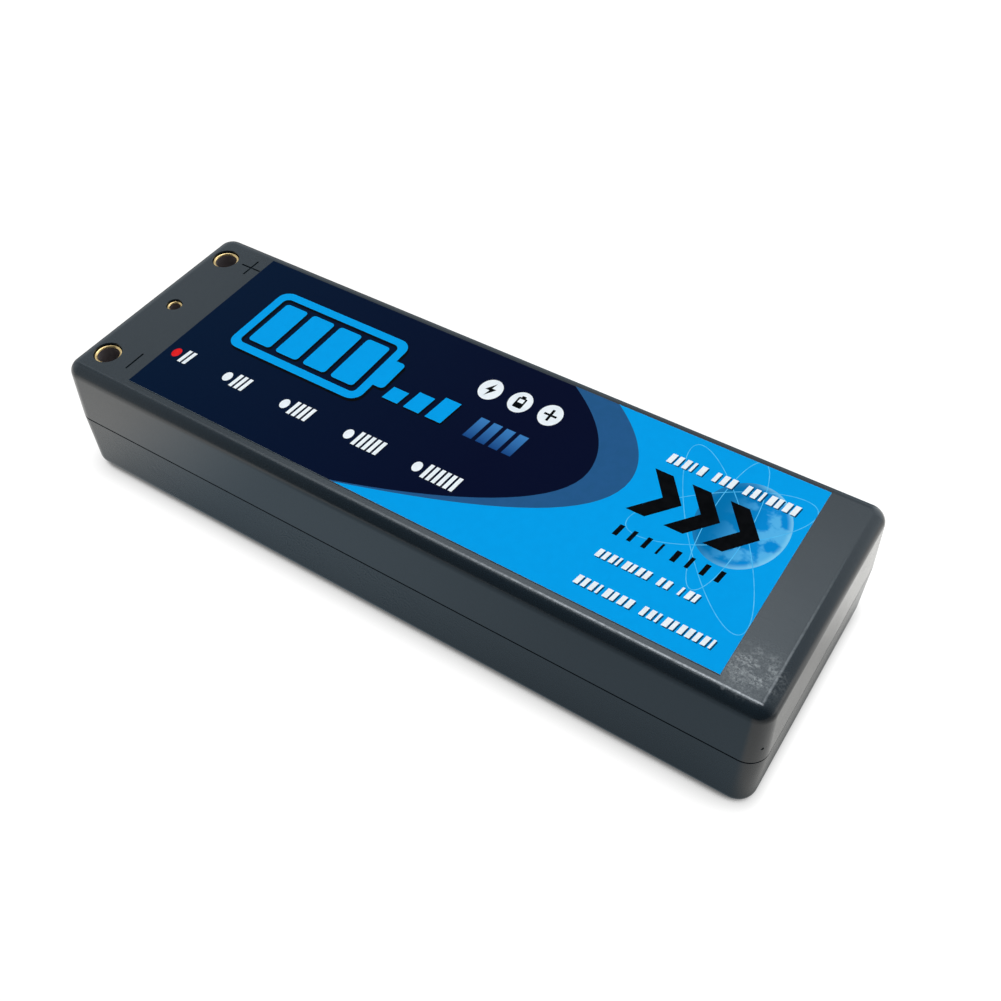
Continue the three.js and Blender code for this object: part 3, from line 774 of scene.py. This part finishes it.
def background(layers):
    """Cyan field, then the blue crescent, then the navy field with its swept right-hand edge."""
    x0, y0, x1, y1 = LABEL_LOW.x, LABEL_LOW.y, LABEL_HIGH.x, LABEL_HIGH.y
    layers.append(("cyan", [(x0, y0), (x1, y0), (x1, y1), (x0, y1)]))
    tip = (31.5, 6.0)
    outer = bezier((21.6, y1), (27.0, 16.6), (31.5, 11.5), tip)
    outer += bezier(tip, (31.5, -5.0), (13.0, -12.5), (-9.0, y0))[1:]
    layers.append(("crescent", [(x0, y0), (x0, y1), *outer][::-1]))
    tip = (24.9, 4.0)
    inner = bezier((13.0, y1), (20.0, 15.8), (24.9, 10.5), tip)
    inner += bezier(tip, (24.9, -6.5), (4.0, -15.0), (-9.8, y0))[1:]
    layers.append(("navy", [(x0, y0), (x0, y1), *inner][::-1]))


def charge_gauge(layers):
    """Large battery symbol with four charge bars."""
    x0, y0, x1, y1 = -46.9, -2.8, -17.2, 14.5
    drop_x, drop_y = 0.6, -0.55
    rim = 1.7
    body = rounded_block(x0, y0, x1, y1, 2.4)
    nub = rounded_block(x1 - 0.6, 2.3, x1 + 2.1, 9.4, 0.8)
    shadowed(layers, [body, nub], "cyan", "black", drop_x, drop_y)
    layers.append(("black", rounded_block(x0 + rim, y0 + rim, x1 - rim, y1 - rim, 1.2)))
    layers.append(("navy", rounded_block(x0 + rim + drop_x, y0 + rim, x1 - rim, y1 - rim + drop_y, 1.0)))
    count, gap, inset = 4, 1.3, rim + 1.2
    width = (x1 - x0 - 2 * inset - (count - 1) * gap) / count
    bars = []
    for i in range(count):
        left = x0 + inset + i * (width + gap)
        bars.append(rounded_block(left, y0 + inset, left + width, y1 - inset, 0.7))
    shadowed(layers, bars, "cyan", "black", drop_x * 0.8, drop_y * 0.8)


def rating_bars(layers):
    steps = [slanted(-14.0 + 4.5 * i, 0.6, 3.2, 3.2 + 1.25 * i, 0.35 + 0.12 * i) for i in range(3)]
    shadowed(layers, steps, "cyan", "black", 0.35, -0.35)
    for i in range(4):
        layers.append(("steel", slanted(2.9 + 2.55 * i, 0.3, 1.75, 5.2, 0.5)))


def badges(layers):
    """Three white discs: a bolt, a small battery and a plus sign."""
    y, half_x, half_y = 12.0, 2.1, 2.6
    places = (1.0, 7.0, 13.0)
    for x in places:
        layers.append(("white", ellipse(x, y, half_x, half_y)))
    x = places[0]
    bolt = [(0.35, 1.75), (-0.95, -0.25), (-0.1, -0.25), (-0.4, -1.75), (0.95, 0.35), (0.1, 0.35)]
    layers.append(("black", [(x + u, y + v) for u, v in bolt]))
    x = places[1]
    layers.append(("black", rounded_block(x - 0.85, y - 1.45, x + 0.85, y + 1.15, 0.25)))
    layers.append(("black", slanted(x - 0.4, y + 1.0, 0.8, 0.6)))
    layers.append(("white", slanted(x - 0.5, y - 0.15, 1.0, 0.95)))
    x = places[2]
    layers.append(("black", slanted(x - 1.2, y - 0.24, 2.4, 0.48)))
    layers.append(("black", slanted(x - 0.24, y - 1.45, 0.48, 2.9)))


def cell_count_list(layers):
    """Five entries, a dot and two to six bars each. The dot of the first one is red."""
    low, height, pitch = -11.2, 3.3, 1.12
    for index, x in enumerate((-52.6, -40.4, -27.3, -13.4, 0.7)):
        layers.append(("red" if index == 0 else "white", ellipse(x, low + height / 2, 0.85, 1.15, 32)))
        bars = [slanted(x + 1.5 + pitch * i, low, 0.72, height, 0.25) for i in range(index + 2)]
        shadowed(layers, bars, "white", "black", 0.12, -0.12)


GLOBE_FACETS = 72
ORBIT_STROKE = 0.13

# Each orbit: centre, half-axes and tilt in degrees
ORBITS = ((47.9, 3.4, 18.9, 4.5, -55.0), (48.6, 6.2, 14.6, 3.3, -87.0), (47.2, 6.6, 15.0, 5.2, 38.0))


def globe(layers):
    layers.append(("globe", ellipse(*GLOBE, GLOBE_FACETS)))
    margin = 0.05
    low = (LABEL_LOW.x + margin, LABEL_LOW.y + margin)
    high = (LABEL_HIGH.x - margin, LABEL_HIGH.y - margin)
    for x, y, half_x, half_y, tilt in ORBITS:
        for quad in stroke(ellipse(x, y, half_x, half_y, GLOBE_FACETS, tilt), ORBIT_STROKE):
            piece = clipped(quad, low, high)
            if len(piece) > 2:
                layers.append(("orbit", piece))


def chevrons(layers):
    """Three heavy arrowheads, one after the other."""
    y0, y1 = 0.5, 10.5
    for x in (33.6, 40.2, 46.8):
        point, thick = 3.9, 3.3
        layers.append(("black", [
            (x, y0), (x + thick, y0), (x + thick + point, (y0 + y1) / 2),
            (x + thick, y1), (x, y1), (x + point, (y0 + y1) / 2)]))


def text_rows(layers):
    rows = (
        (34.3, 57.2, 12.8, 15.0, (5, 3, 7)),
        (34.1, 51.7, -10.3, -8.6, (8, 2, 3)),
        (33.9, 57.4, -16.4, -14.6, (8, 10)),
    )
    for x0, x1, y0, y1, words in rows:
        shadowed(layers, print_row(x0, x1, y0, y1, words), "white", "shade", 0.26, -0.20)
    layers.extend(("black", block) for block in print_row(34.3, 52.9, -5.2, -2.8, (1,) * 8))


def artwork():
    """The printed shapes of the label, bottom layer first, as (ink, outline) pairs."""
    layers = []
    background(layers)
    charge_gauge(layers)
    rating_bars(layers)
    badges(layers)
    cell_count_list(layers)
    globe(layers)
    chevrons(layers)
    text_rows(layers)
    return layers


def printed_label():
    """One film whose top face is divided along the edges of the printed shapes."""
    layers = artwork()
    palette = inks()
    names = list(palette)
    points, faces = [], []
    for _, outline in layers:
        faces.append(list(range(len(points), len(points) + len(outline))))
        points.extend(Vector(point) for point in outline)
    verts, _, triangles, _, _, owners = geometry.delaunay_2d_cdt(points, [], faces, 1, 1e-4, True)
    solid = Solid()
    top, thickness = LABEL_HIGH.z, LABEL_HIGH.z - LABEL_LOW.z
    upper = [solid.mesh.verts.new((v.x, v.y, top)) for v in verts]
    for corners, owner in zip(triangles, owners):
        if owner:
            face = solid.mesh.faces.new([upper[i] for i in corners])
            face.material_index = names.index(layers[max(owner)][0])
    rim = [edge for edge in solid.mesh.edges if edge.is_boundary]
    lower = bmesh.ops.extrude_edge_only(solid.mesh, edges=rim)["geom"]
    bottom_verts = [item for item in lower if isinstance(item, bmesh.types.BMVert)]
    for vertex in bottom_verts:
        vertex.co.z -= thickness
    for item in lower:
        if isinstance(item, bmesh.types.BMFace):
            item.material_index = names.index("edge")
    bottom_edges = [item for item in lower if isinstance(item, bmesh.types.BMEdge) and item.is_boundary]
    filled = bmesh.ops.triangle_fill(solid.mesh, use_beauty=True, edges=bottom_edges)["geom"]
    for item in filled:
        if isinstance(item, bmesh.types.BMFace):
            item.material_index = names.index("edge")
    piece = solid.finish("printed_label", [palette[name] for name in names])
    return stand_for(piece, "top_label")


# ---- pieces inside --------------------------------------------------------------------------

FOAM_CUTS = 8
FOAM_CROWN = 0.10


def foam_piece(name, node, material):
    """Foam block with softened edges and a slight crown, inside the CAD solid's box."""
    low, high = mm_box(node)
    size = high - low
    thin = min(range(3), key=lambda axis: size[axis])
    edge = min(size) * 0.3
    solid = Solid()
    bmesh.ops.create_cube(solid.mesh, size=1.0)
    for vertex in solid.mesh.verts:
        for axis in range(3):
            vertex.co[axis] = (low[axis] + high[axis]) / 2 + vertex.co[axis] * size[axis]
    bmesh.ops.bevel(
        solid.mesh, geom=solid.mesh.edges[:], offset=edge, segments=4, profile=0.5, affect="EDGES")
    long_axes = [axis for axis in range(3) if axis != thin]
    for axis in long_axes:
        for cut in range(1, FOAM_CUTS):
            point = Vector((low + high) / 2)
            point[axis] = low[axis] + size[axis] * cut / FOAM_CUTS
            normal = Vector((0, 0, 0))
            normal[axis] = 1
            everything = solid.mesh.verts[:] + solid.mesh.edges[:] + solid.mesh.faces[:]
            bmesh.ops.bisect_plane(solid.mesh, geom=everything, plane_co=point, plane_no=normal)
    centre = (low + high) / 2
    for vertex in solid.mesh.verts:
        reach = max(abs(vertex.co[axis] - centre[axis]) / (size[axis] / 2) for axis in long_axes)
        squeeze = 1 - FOAM_CROWN * reach ** 4
        vertex.co[thin] = centre[thin] + (vertex.co[thin] - centre[thin]) * squeeze
    piece = solid.finish(name, [material], 60.0)
    stand_for(piece, node)
    return piece


def dress(names, material):
    """Gives CAD nodes their material."""
    for name in names:
        slots = nodes[name].data.materials
        slots.clear()
        slots.append(material)


def inside_pieces():
    foam = soft(
        "closed_cell_foam", rgb(0.012, 0.012, 0.013), rgb(0.04, 0.04, 0.043), 1400, 0.0001, 0.9, True)
    foam_piece("top_foam", "top_foam_pad", foam)
    foam_piece("bottom_foam", "bottom_foam_pad", foam)
    foam_piece("end_foam", "end_foam_block", foam)
    dress(["lower_cell", "upper_cell"], pouch_film())
    dress(["upper_positive_tab", "lower_positive_tab"],
          metal("aluminium_tab", screen(196, 199, 203), screen(226, 228, 230)))
    dress(["upper_negative_tab", "lower_negative_tab"],
          metal("nickel_tab", screen(178, 172, 160), screen(206, 201, 190)))
    dress(["positive_busbar", "negative_busbar", "series_bar"],
          metal("copper_strip", screen(176, 98, 62), screen(214, 134, 92)))
    dress(["positive_solder_joint", "negative_solder_joint", "balance_solder_joint"],
          metal("solder", screen(170, 172, 176), screen(208, 210, 214), (0.15, 0.3), (1.0, 1.0, 1.0)))
    seals = [f"{cell}_{sign}_tab_seal" for cell in ("lower", "upper") for sign in ("positive", "negative")]
    dress(seals, soft("seal_film", screen(214, 205, 178), screen(232, 225, 202), 1500, 0.00002, 0.45))
    dress(["terminal_board"], board_laminate())
    dress(["tab_insulator"],
          soft("insulator_paper", screen(116, 136, 146), screen(146, 164, 172), 1100, 0.00003))
    dress(["balance_wire"],
          soft("wire_sleeve", screen(222, 160, 20), screen(240, 184, 40), 600, 0.00002, 0.45))
    dress(["cell_spacer_tape"],
          soft("spacer_tape", screen(222, 222, 216), screen(240, 240, 236), 1300, 0.00004))
    dress(["front_stack_band", "rear_stack_band"],
          soft("band_tape", screen(176, 108, 22), screen(206, 136, 40), 400, 0.00002, 0.3))
    dress(["seam_adhesive"],
          soft("case_glue", screen(206, 201, 186), screen(226, 222, 210), 500, 0.0001, 0.5))


# ---- studio ---------------------------------------------------------------------------------

CAMERA_PLACE = (0.08392, -0.11110, 0.16487)
CAMERA_TURN = (41.356, 2.0657, 33.8477)
CAMERA_LENS = 42.263
CAMERA_SHIFT = 0.0372
SENSOR = 36.0
STAGE_REACH = 4.0
BACKDROP_RADIUS = 0.9 * STAGE_REACH
ROOM_TINT = rgb(0.91, 1.0, 1.06)
CONTACT_SHADE_REACH = 0.0045
END_SHADE_REACH = 0.0022
MIRROR_SHADE_REACH = 0.014
END_MIRROR_SHADE_REACH = 0.003
FLOOR_SEEN_HEIGHT = -0.0001
FLOOR_BOUNCE_HEIGHT = -0.0002
LAMP_PLACE = (0.05, 0.05, 0.9)
LAMP_AIM = (0.05, 0.05, 0.0)
LAMP_SIZE = (0.8, 0.8)
LAMP_GLOW = 1.4


def camera():
    data = bpy.data.cameras.new("camera")
    data.lens = CAMERA_LENS
    data.sensor_width = SENSOR
    data.shift_x = CAMERA_SHIFT
    data.clip_start = 0.005
    shot = bpy.data.objects.new("camera", data)
    shot.location = CAMERA_PLACE
    shot.rotation_euler = [math.radians(angle) for angle in CAMERA_TURN]
    bpy.context.scene.collection.objects.link(shot)
    bpy.context.scene.camera = shot


def panel_light(name, place, aim, size, glow):
    """Square-on soft panel that no surface mirrors. glow is the brightness of its face."""
    data = bpy.data.lights.new(name, "AREA")
    data.shape = "RECTANGLE"
    data.size, data.size_y = size
    data.energy = glow * math.pi * size[0] * size[1]
    lamp = bpy.data.objects.new(name, data)
    lamp.location = place
    lamp.rotation_euler = (Vector(aim) - Vector(place)).to_track_quat("-Z", "Y").to_euler()
    lamp.visible_glossy = False
    bpy.context.scene.collection.objects.link(lamp)


def glowing_paper(name):
    """Material that reflects nothing and shows only its own glow, white unless a colour is linked."""
    return Shader(name, Roughness=1.0, Specular_IOR_Level=0.0, Base_Color=rgb(0, 0, 0),
                  Emission_Color=rgb(1, 1, 1))


def stage_plane(name, height, material):
    solid = Solid()
    corner = STAGE_REACH / MM
    square = solid.loop(
        [(-corner, -corner), (corner, -corner), (corner, corner), (-corner, corner)], height / MM)
    solid.mesh.faces.new(square)
    plane = solid.finish(name, [material])
    return plane


def seen_by_camera_only(piece):
    piece.visible_diffuse = False
    piece.visible_glossy = False
    piece.visible_shadow = False
    piece.visible_transmission = False


def white_floor():
    """What the camera sees: white paper with a soft shade where the case meets it."""
    shader = glowing_paper("white_floor")
    reach = shader.ease(shader.axes()["X"], 0.060, 0.071, CONTACT_SHADE_REACH, END_SHADE_REACH)
    shade = shader.node("ShaderNodeAmbientOcclusion", {"Distance": reach}, samples=16)
    contact = shader.ease(shade.outputs["AO"], 0.28, 0.56, 0.26, 1.0)
    glow = shader.product(shader.math("POWER", shade.outputs["AO"], 0.6), contact, 1.08)
    plane = stage_plane("floor_seen", FLOOR_SEEN_HEIGHT, shader.connect(Emission_Strength=glow))
    seen_by_camera_only(plane)


def bounce_floor():
    """What the pack mirrors: paper that is brightest beyond its ends and dim along its far side."""
    shader = glowing_paper("bounce_floor")
    x, y = shader.axes()["X"], shader.axes()["Y"]
    beyond_end = shader.ease(x, 0.064, 0.071)
    beyond_sockets = shader.ease(x, -0.035, -0.080)
    far_side = shader.product(shader.ease(y, 0.0, 0.03), shader.map(beyond_end, 0.0, 1.0, 1.0, 0.0))
    front = shader.product(
        shader.map(y, -0.22, -0.09, 0.3, 1.0), shader.ease(x, 0.035, -0.012, 0.50, 0.60),
        shader.map(far_side, 0.0, 1.0, 1.0, 0.5))
    left = shader.product(beyond_sockets, shader.ease(y, -0.012, -0.026, 0.0, 0.55))
    behind = shader.product(beyond_end, shader.ease(y, 0.009, 0.031, 0.0, 0.66))
    right = shader.product(beyond_end, shader.map(x, 0.085, 0.13, 0.18, -0.1))
    reach = shader.map(beyond_end, 0.0, 1.0, MIRROR_SHADE_REACH, END_MIRROR_SHADE_REACH)
    shade = shader.node("ShaderNodeAmbientOcclusion", {"Distance": reach}, samples=8)
    deepest = shader.map(beyond_end, 0.0, 1.0, 0.55, 0.20)
    contact = shader.map(shade.outputs["AO"], 0.45, 0.95, deepest, 1.05)
    glow = shader.product(shader.sum(front, left, behind, right), contact)
    ends = shader.math("MAXIMUM", beyond_end, beyond_sockets)
    colour = shader.mix(ends, rgb(0.80, 1.0, 1.15), rgb(1.02, 1.01, 0.98))
    material = shader.connect(Emission_Color=colour, Emission_Strength=glow)
    stage_plane("floor_bounce", FLOOR_BOUNCE_HEIGHT, material).visible_camera = False


def room():
    """Room light by direction: dim in front, brighter behind and on the left, with a high window."""
    world = bpy.data.worlds.new("studio")
    bpy.context.scene.world = world
    world.use_nodes = True
    sky = Pattern(world.node_tree, "Generated")
    axes = sky.axes()
    x, y, z = axes["X"], axes["Y"], axes["Z"]
    walls = sky.ease(y, -0.3, 0.5, 0.12, 0.62)
    left = sky.ease(x, -0.55, -0.68, 0.0, 0.25)
    left_front = sky.product(sky.ease(x, -0.47, -0.68, 0.0, 0.45), sky.ease(y, 0.1, -0.1))
    far = sky.product(sky.ease(y, 0.58, 0.70, 0.0, 0.9), sky.ease(x, -0.12, 0.05))
    window = sky.product(
        sky.ease(z, 0.64, 0.90, 0.0, 3.05), sky.ease(y, 0.13, 0.23),
        sky.ease(x, 0.02, -0.08), sky.ease(x, -0.60, -0.48))
    background = world.node_tree.nodes["Background"]
    background.inputs["Color"].default_value = ROOM_TINT
    sky.links.new(sky.sum(walls, left, left_front, far, window), background.inputs["Strength"])


def backdrop():
    """White wall all round, seen by the camera only."""
    solid = Solid()
    outline = circle(0, 0, BACKDROP_RADIUS / MM, 96)
    lower = solid.loop(outline, -1)
    upper = solid.loop(outline, STAGE_REACH / MM)
    solid.bridge(lower, upper)
    shader = glowing_paper("white_wall")
    glow = shader.map(shader.noise(0.2, 1.0), 0.0, 1.0, 1.01, 1.03)
    wall = solid.finish("backdrop", [shader.connect(Emission_Strength=glow)])
    seen_by_camera_only(wall)


def studio():
    white_floor()
    bounce_floor()
    backdrop()
    room()
    panel_light("overhead_panel", LAMP_PLACE, LAMP_AIM, LAMP_SIZE, LAMP_GLOW)
    bpy.context.scene.view_settings.view_transform = "Standard"


# ---- making ---------------------------------------------------------------------------------

camera()
plastic = case_plastic()
upper_shell(plastic)
lower_shell(plastic)
gold = socket_gold()
shaded_bore_metal = shaded_bore()
for socket_node in SOCKETS:
    socket_piece(socket_node, gold, shaded_bore_metal)
printed_label()
inside_pieces()
studio()
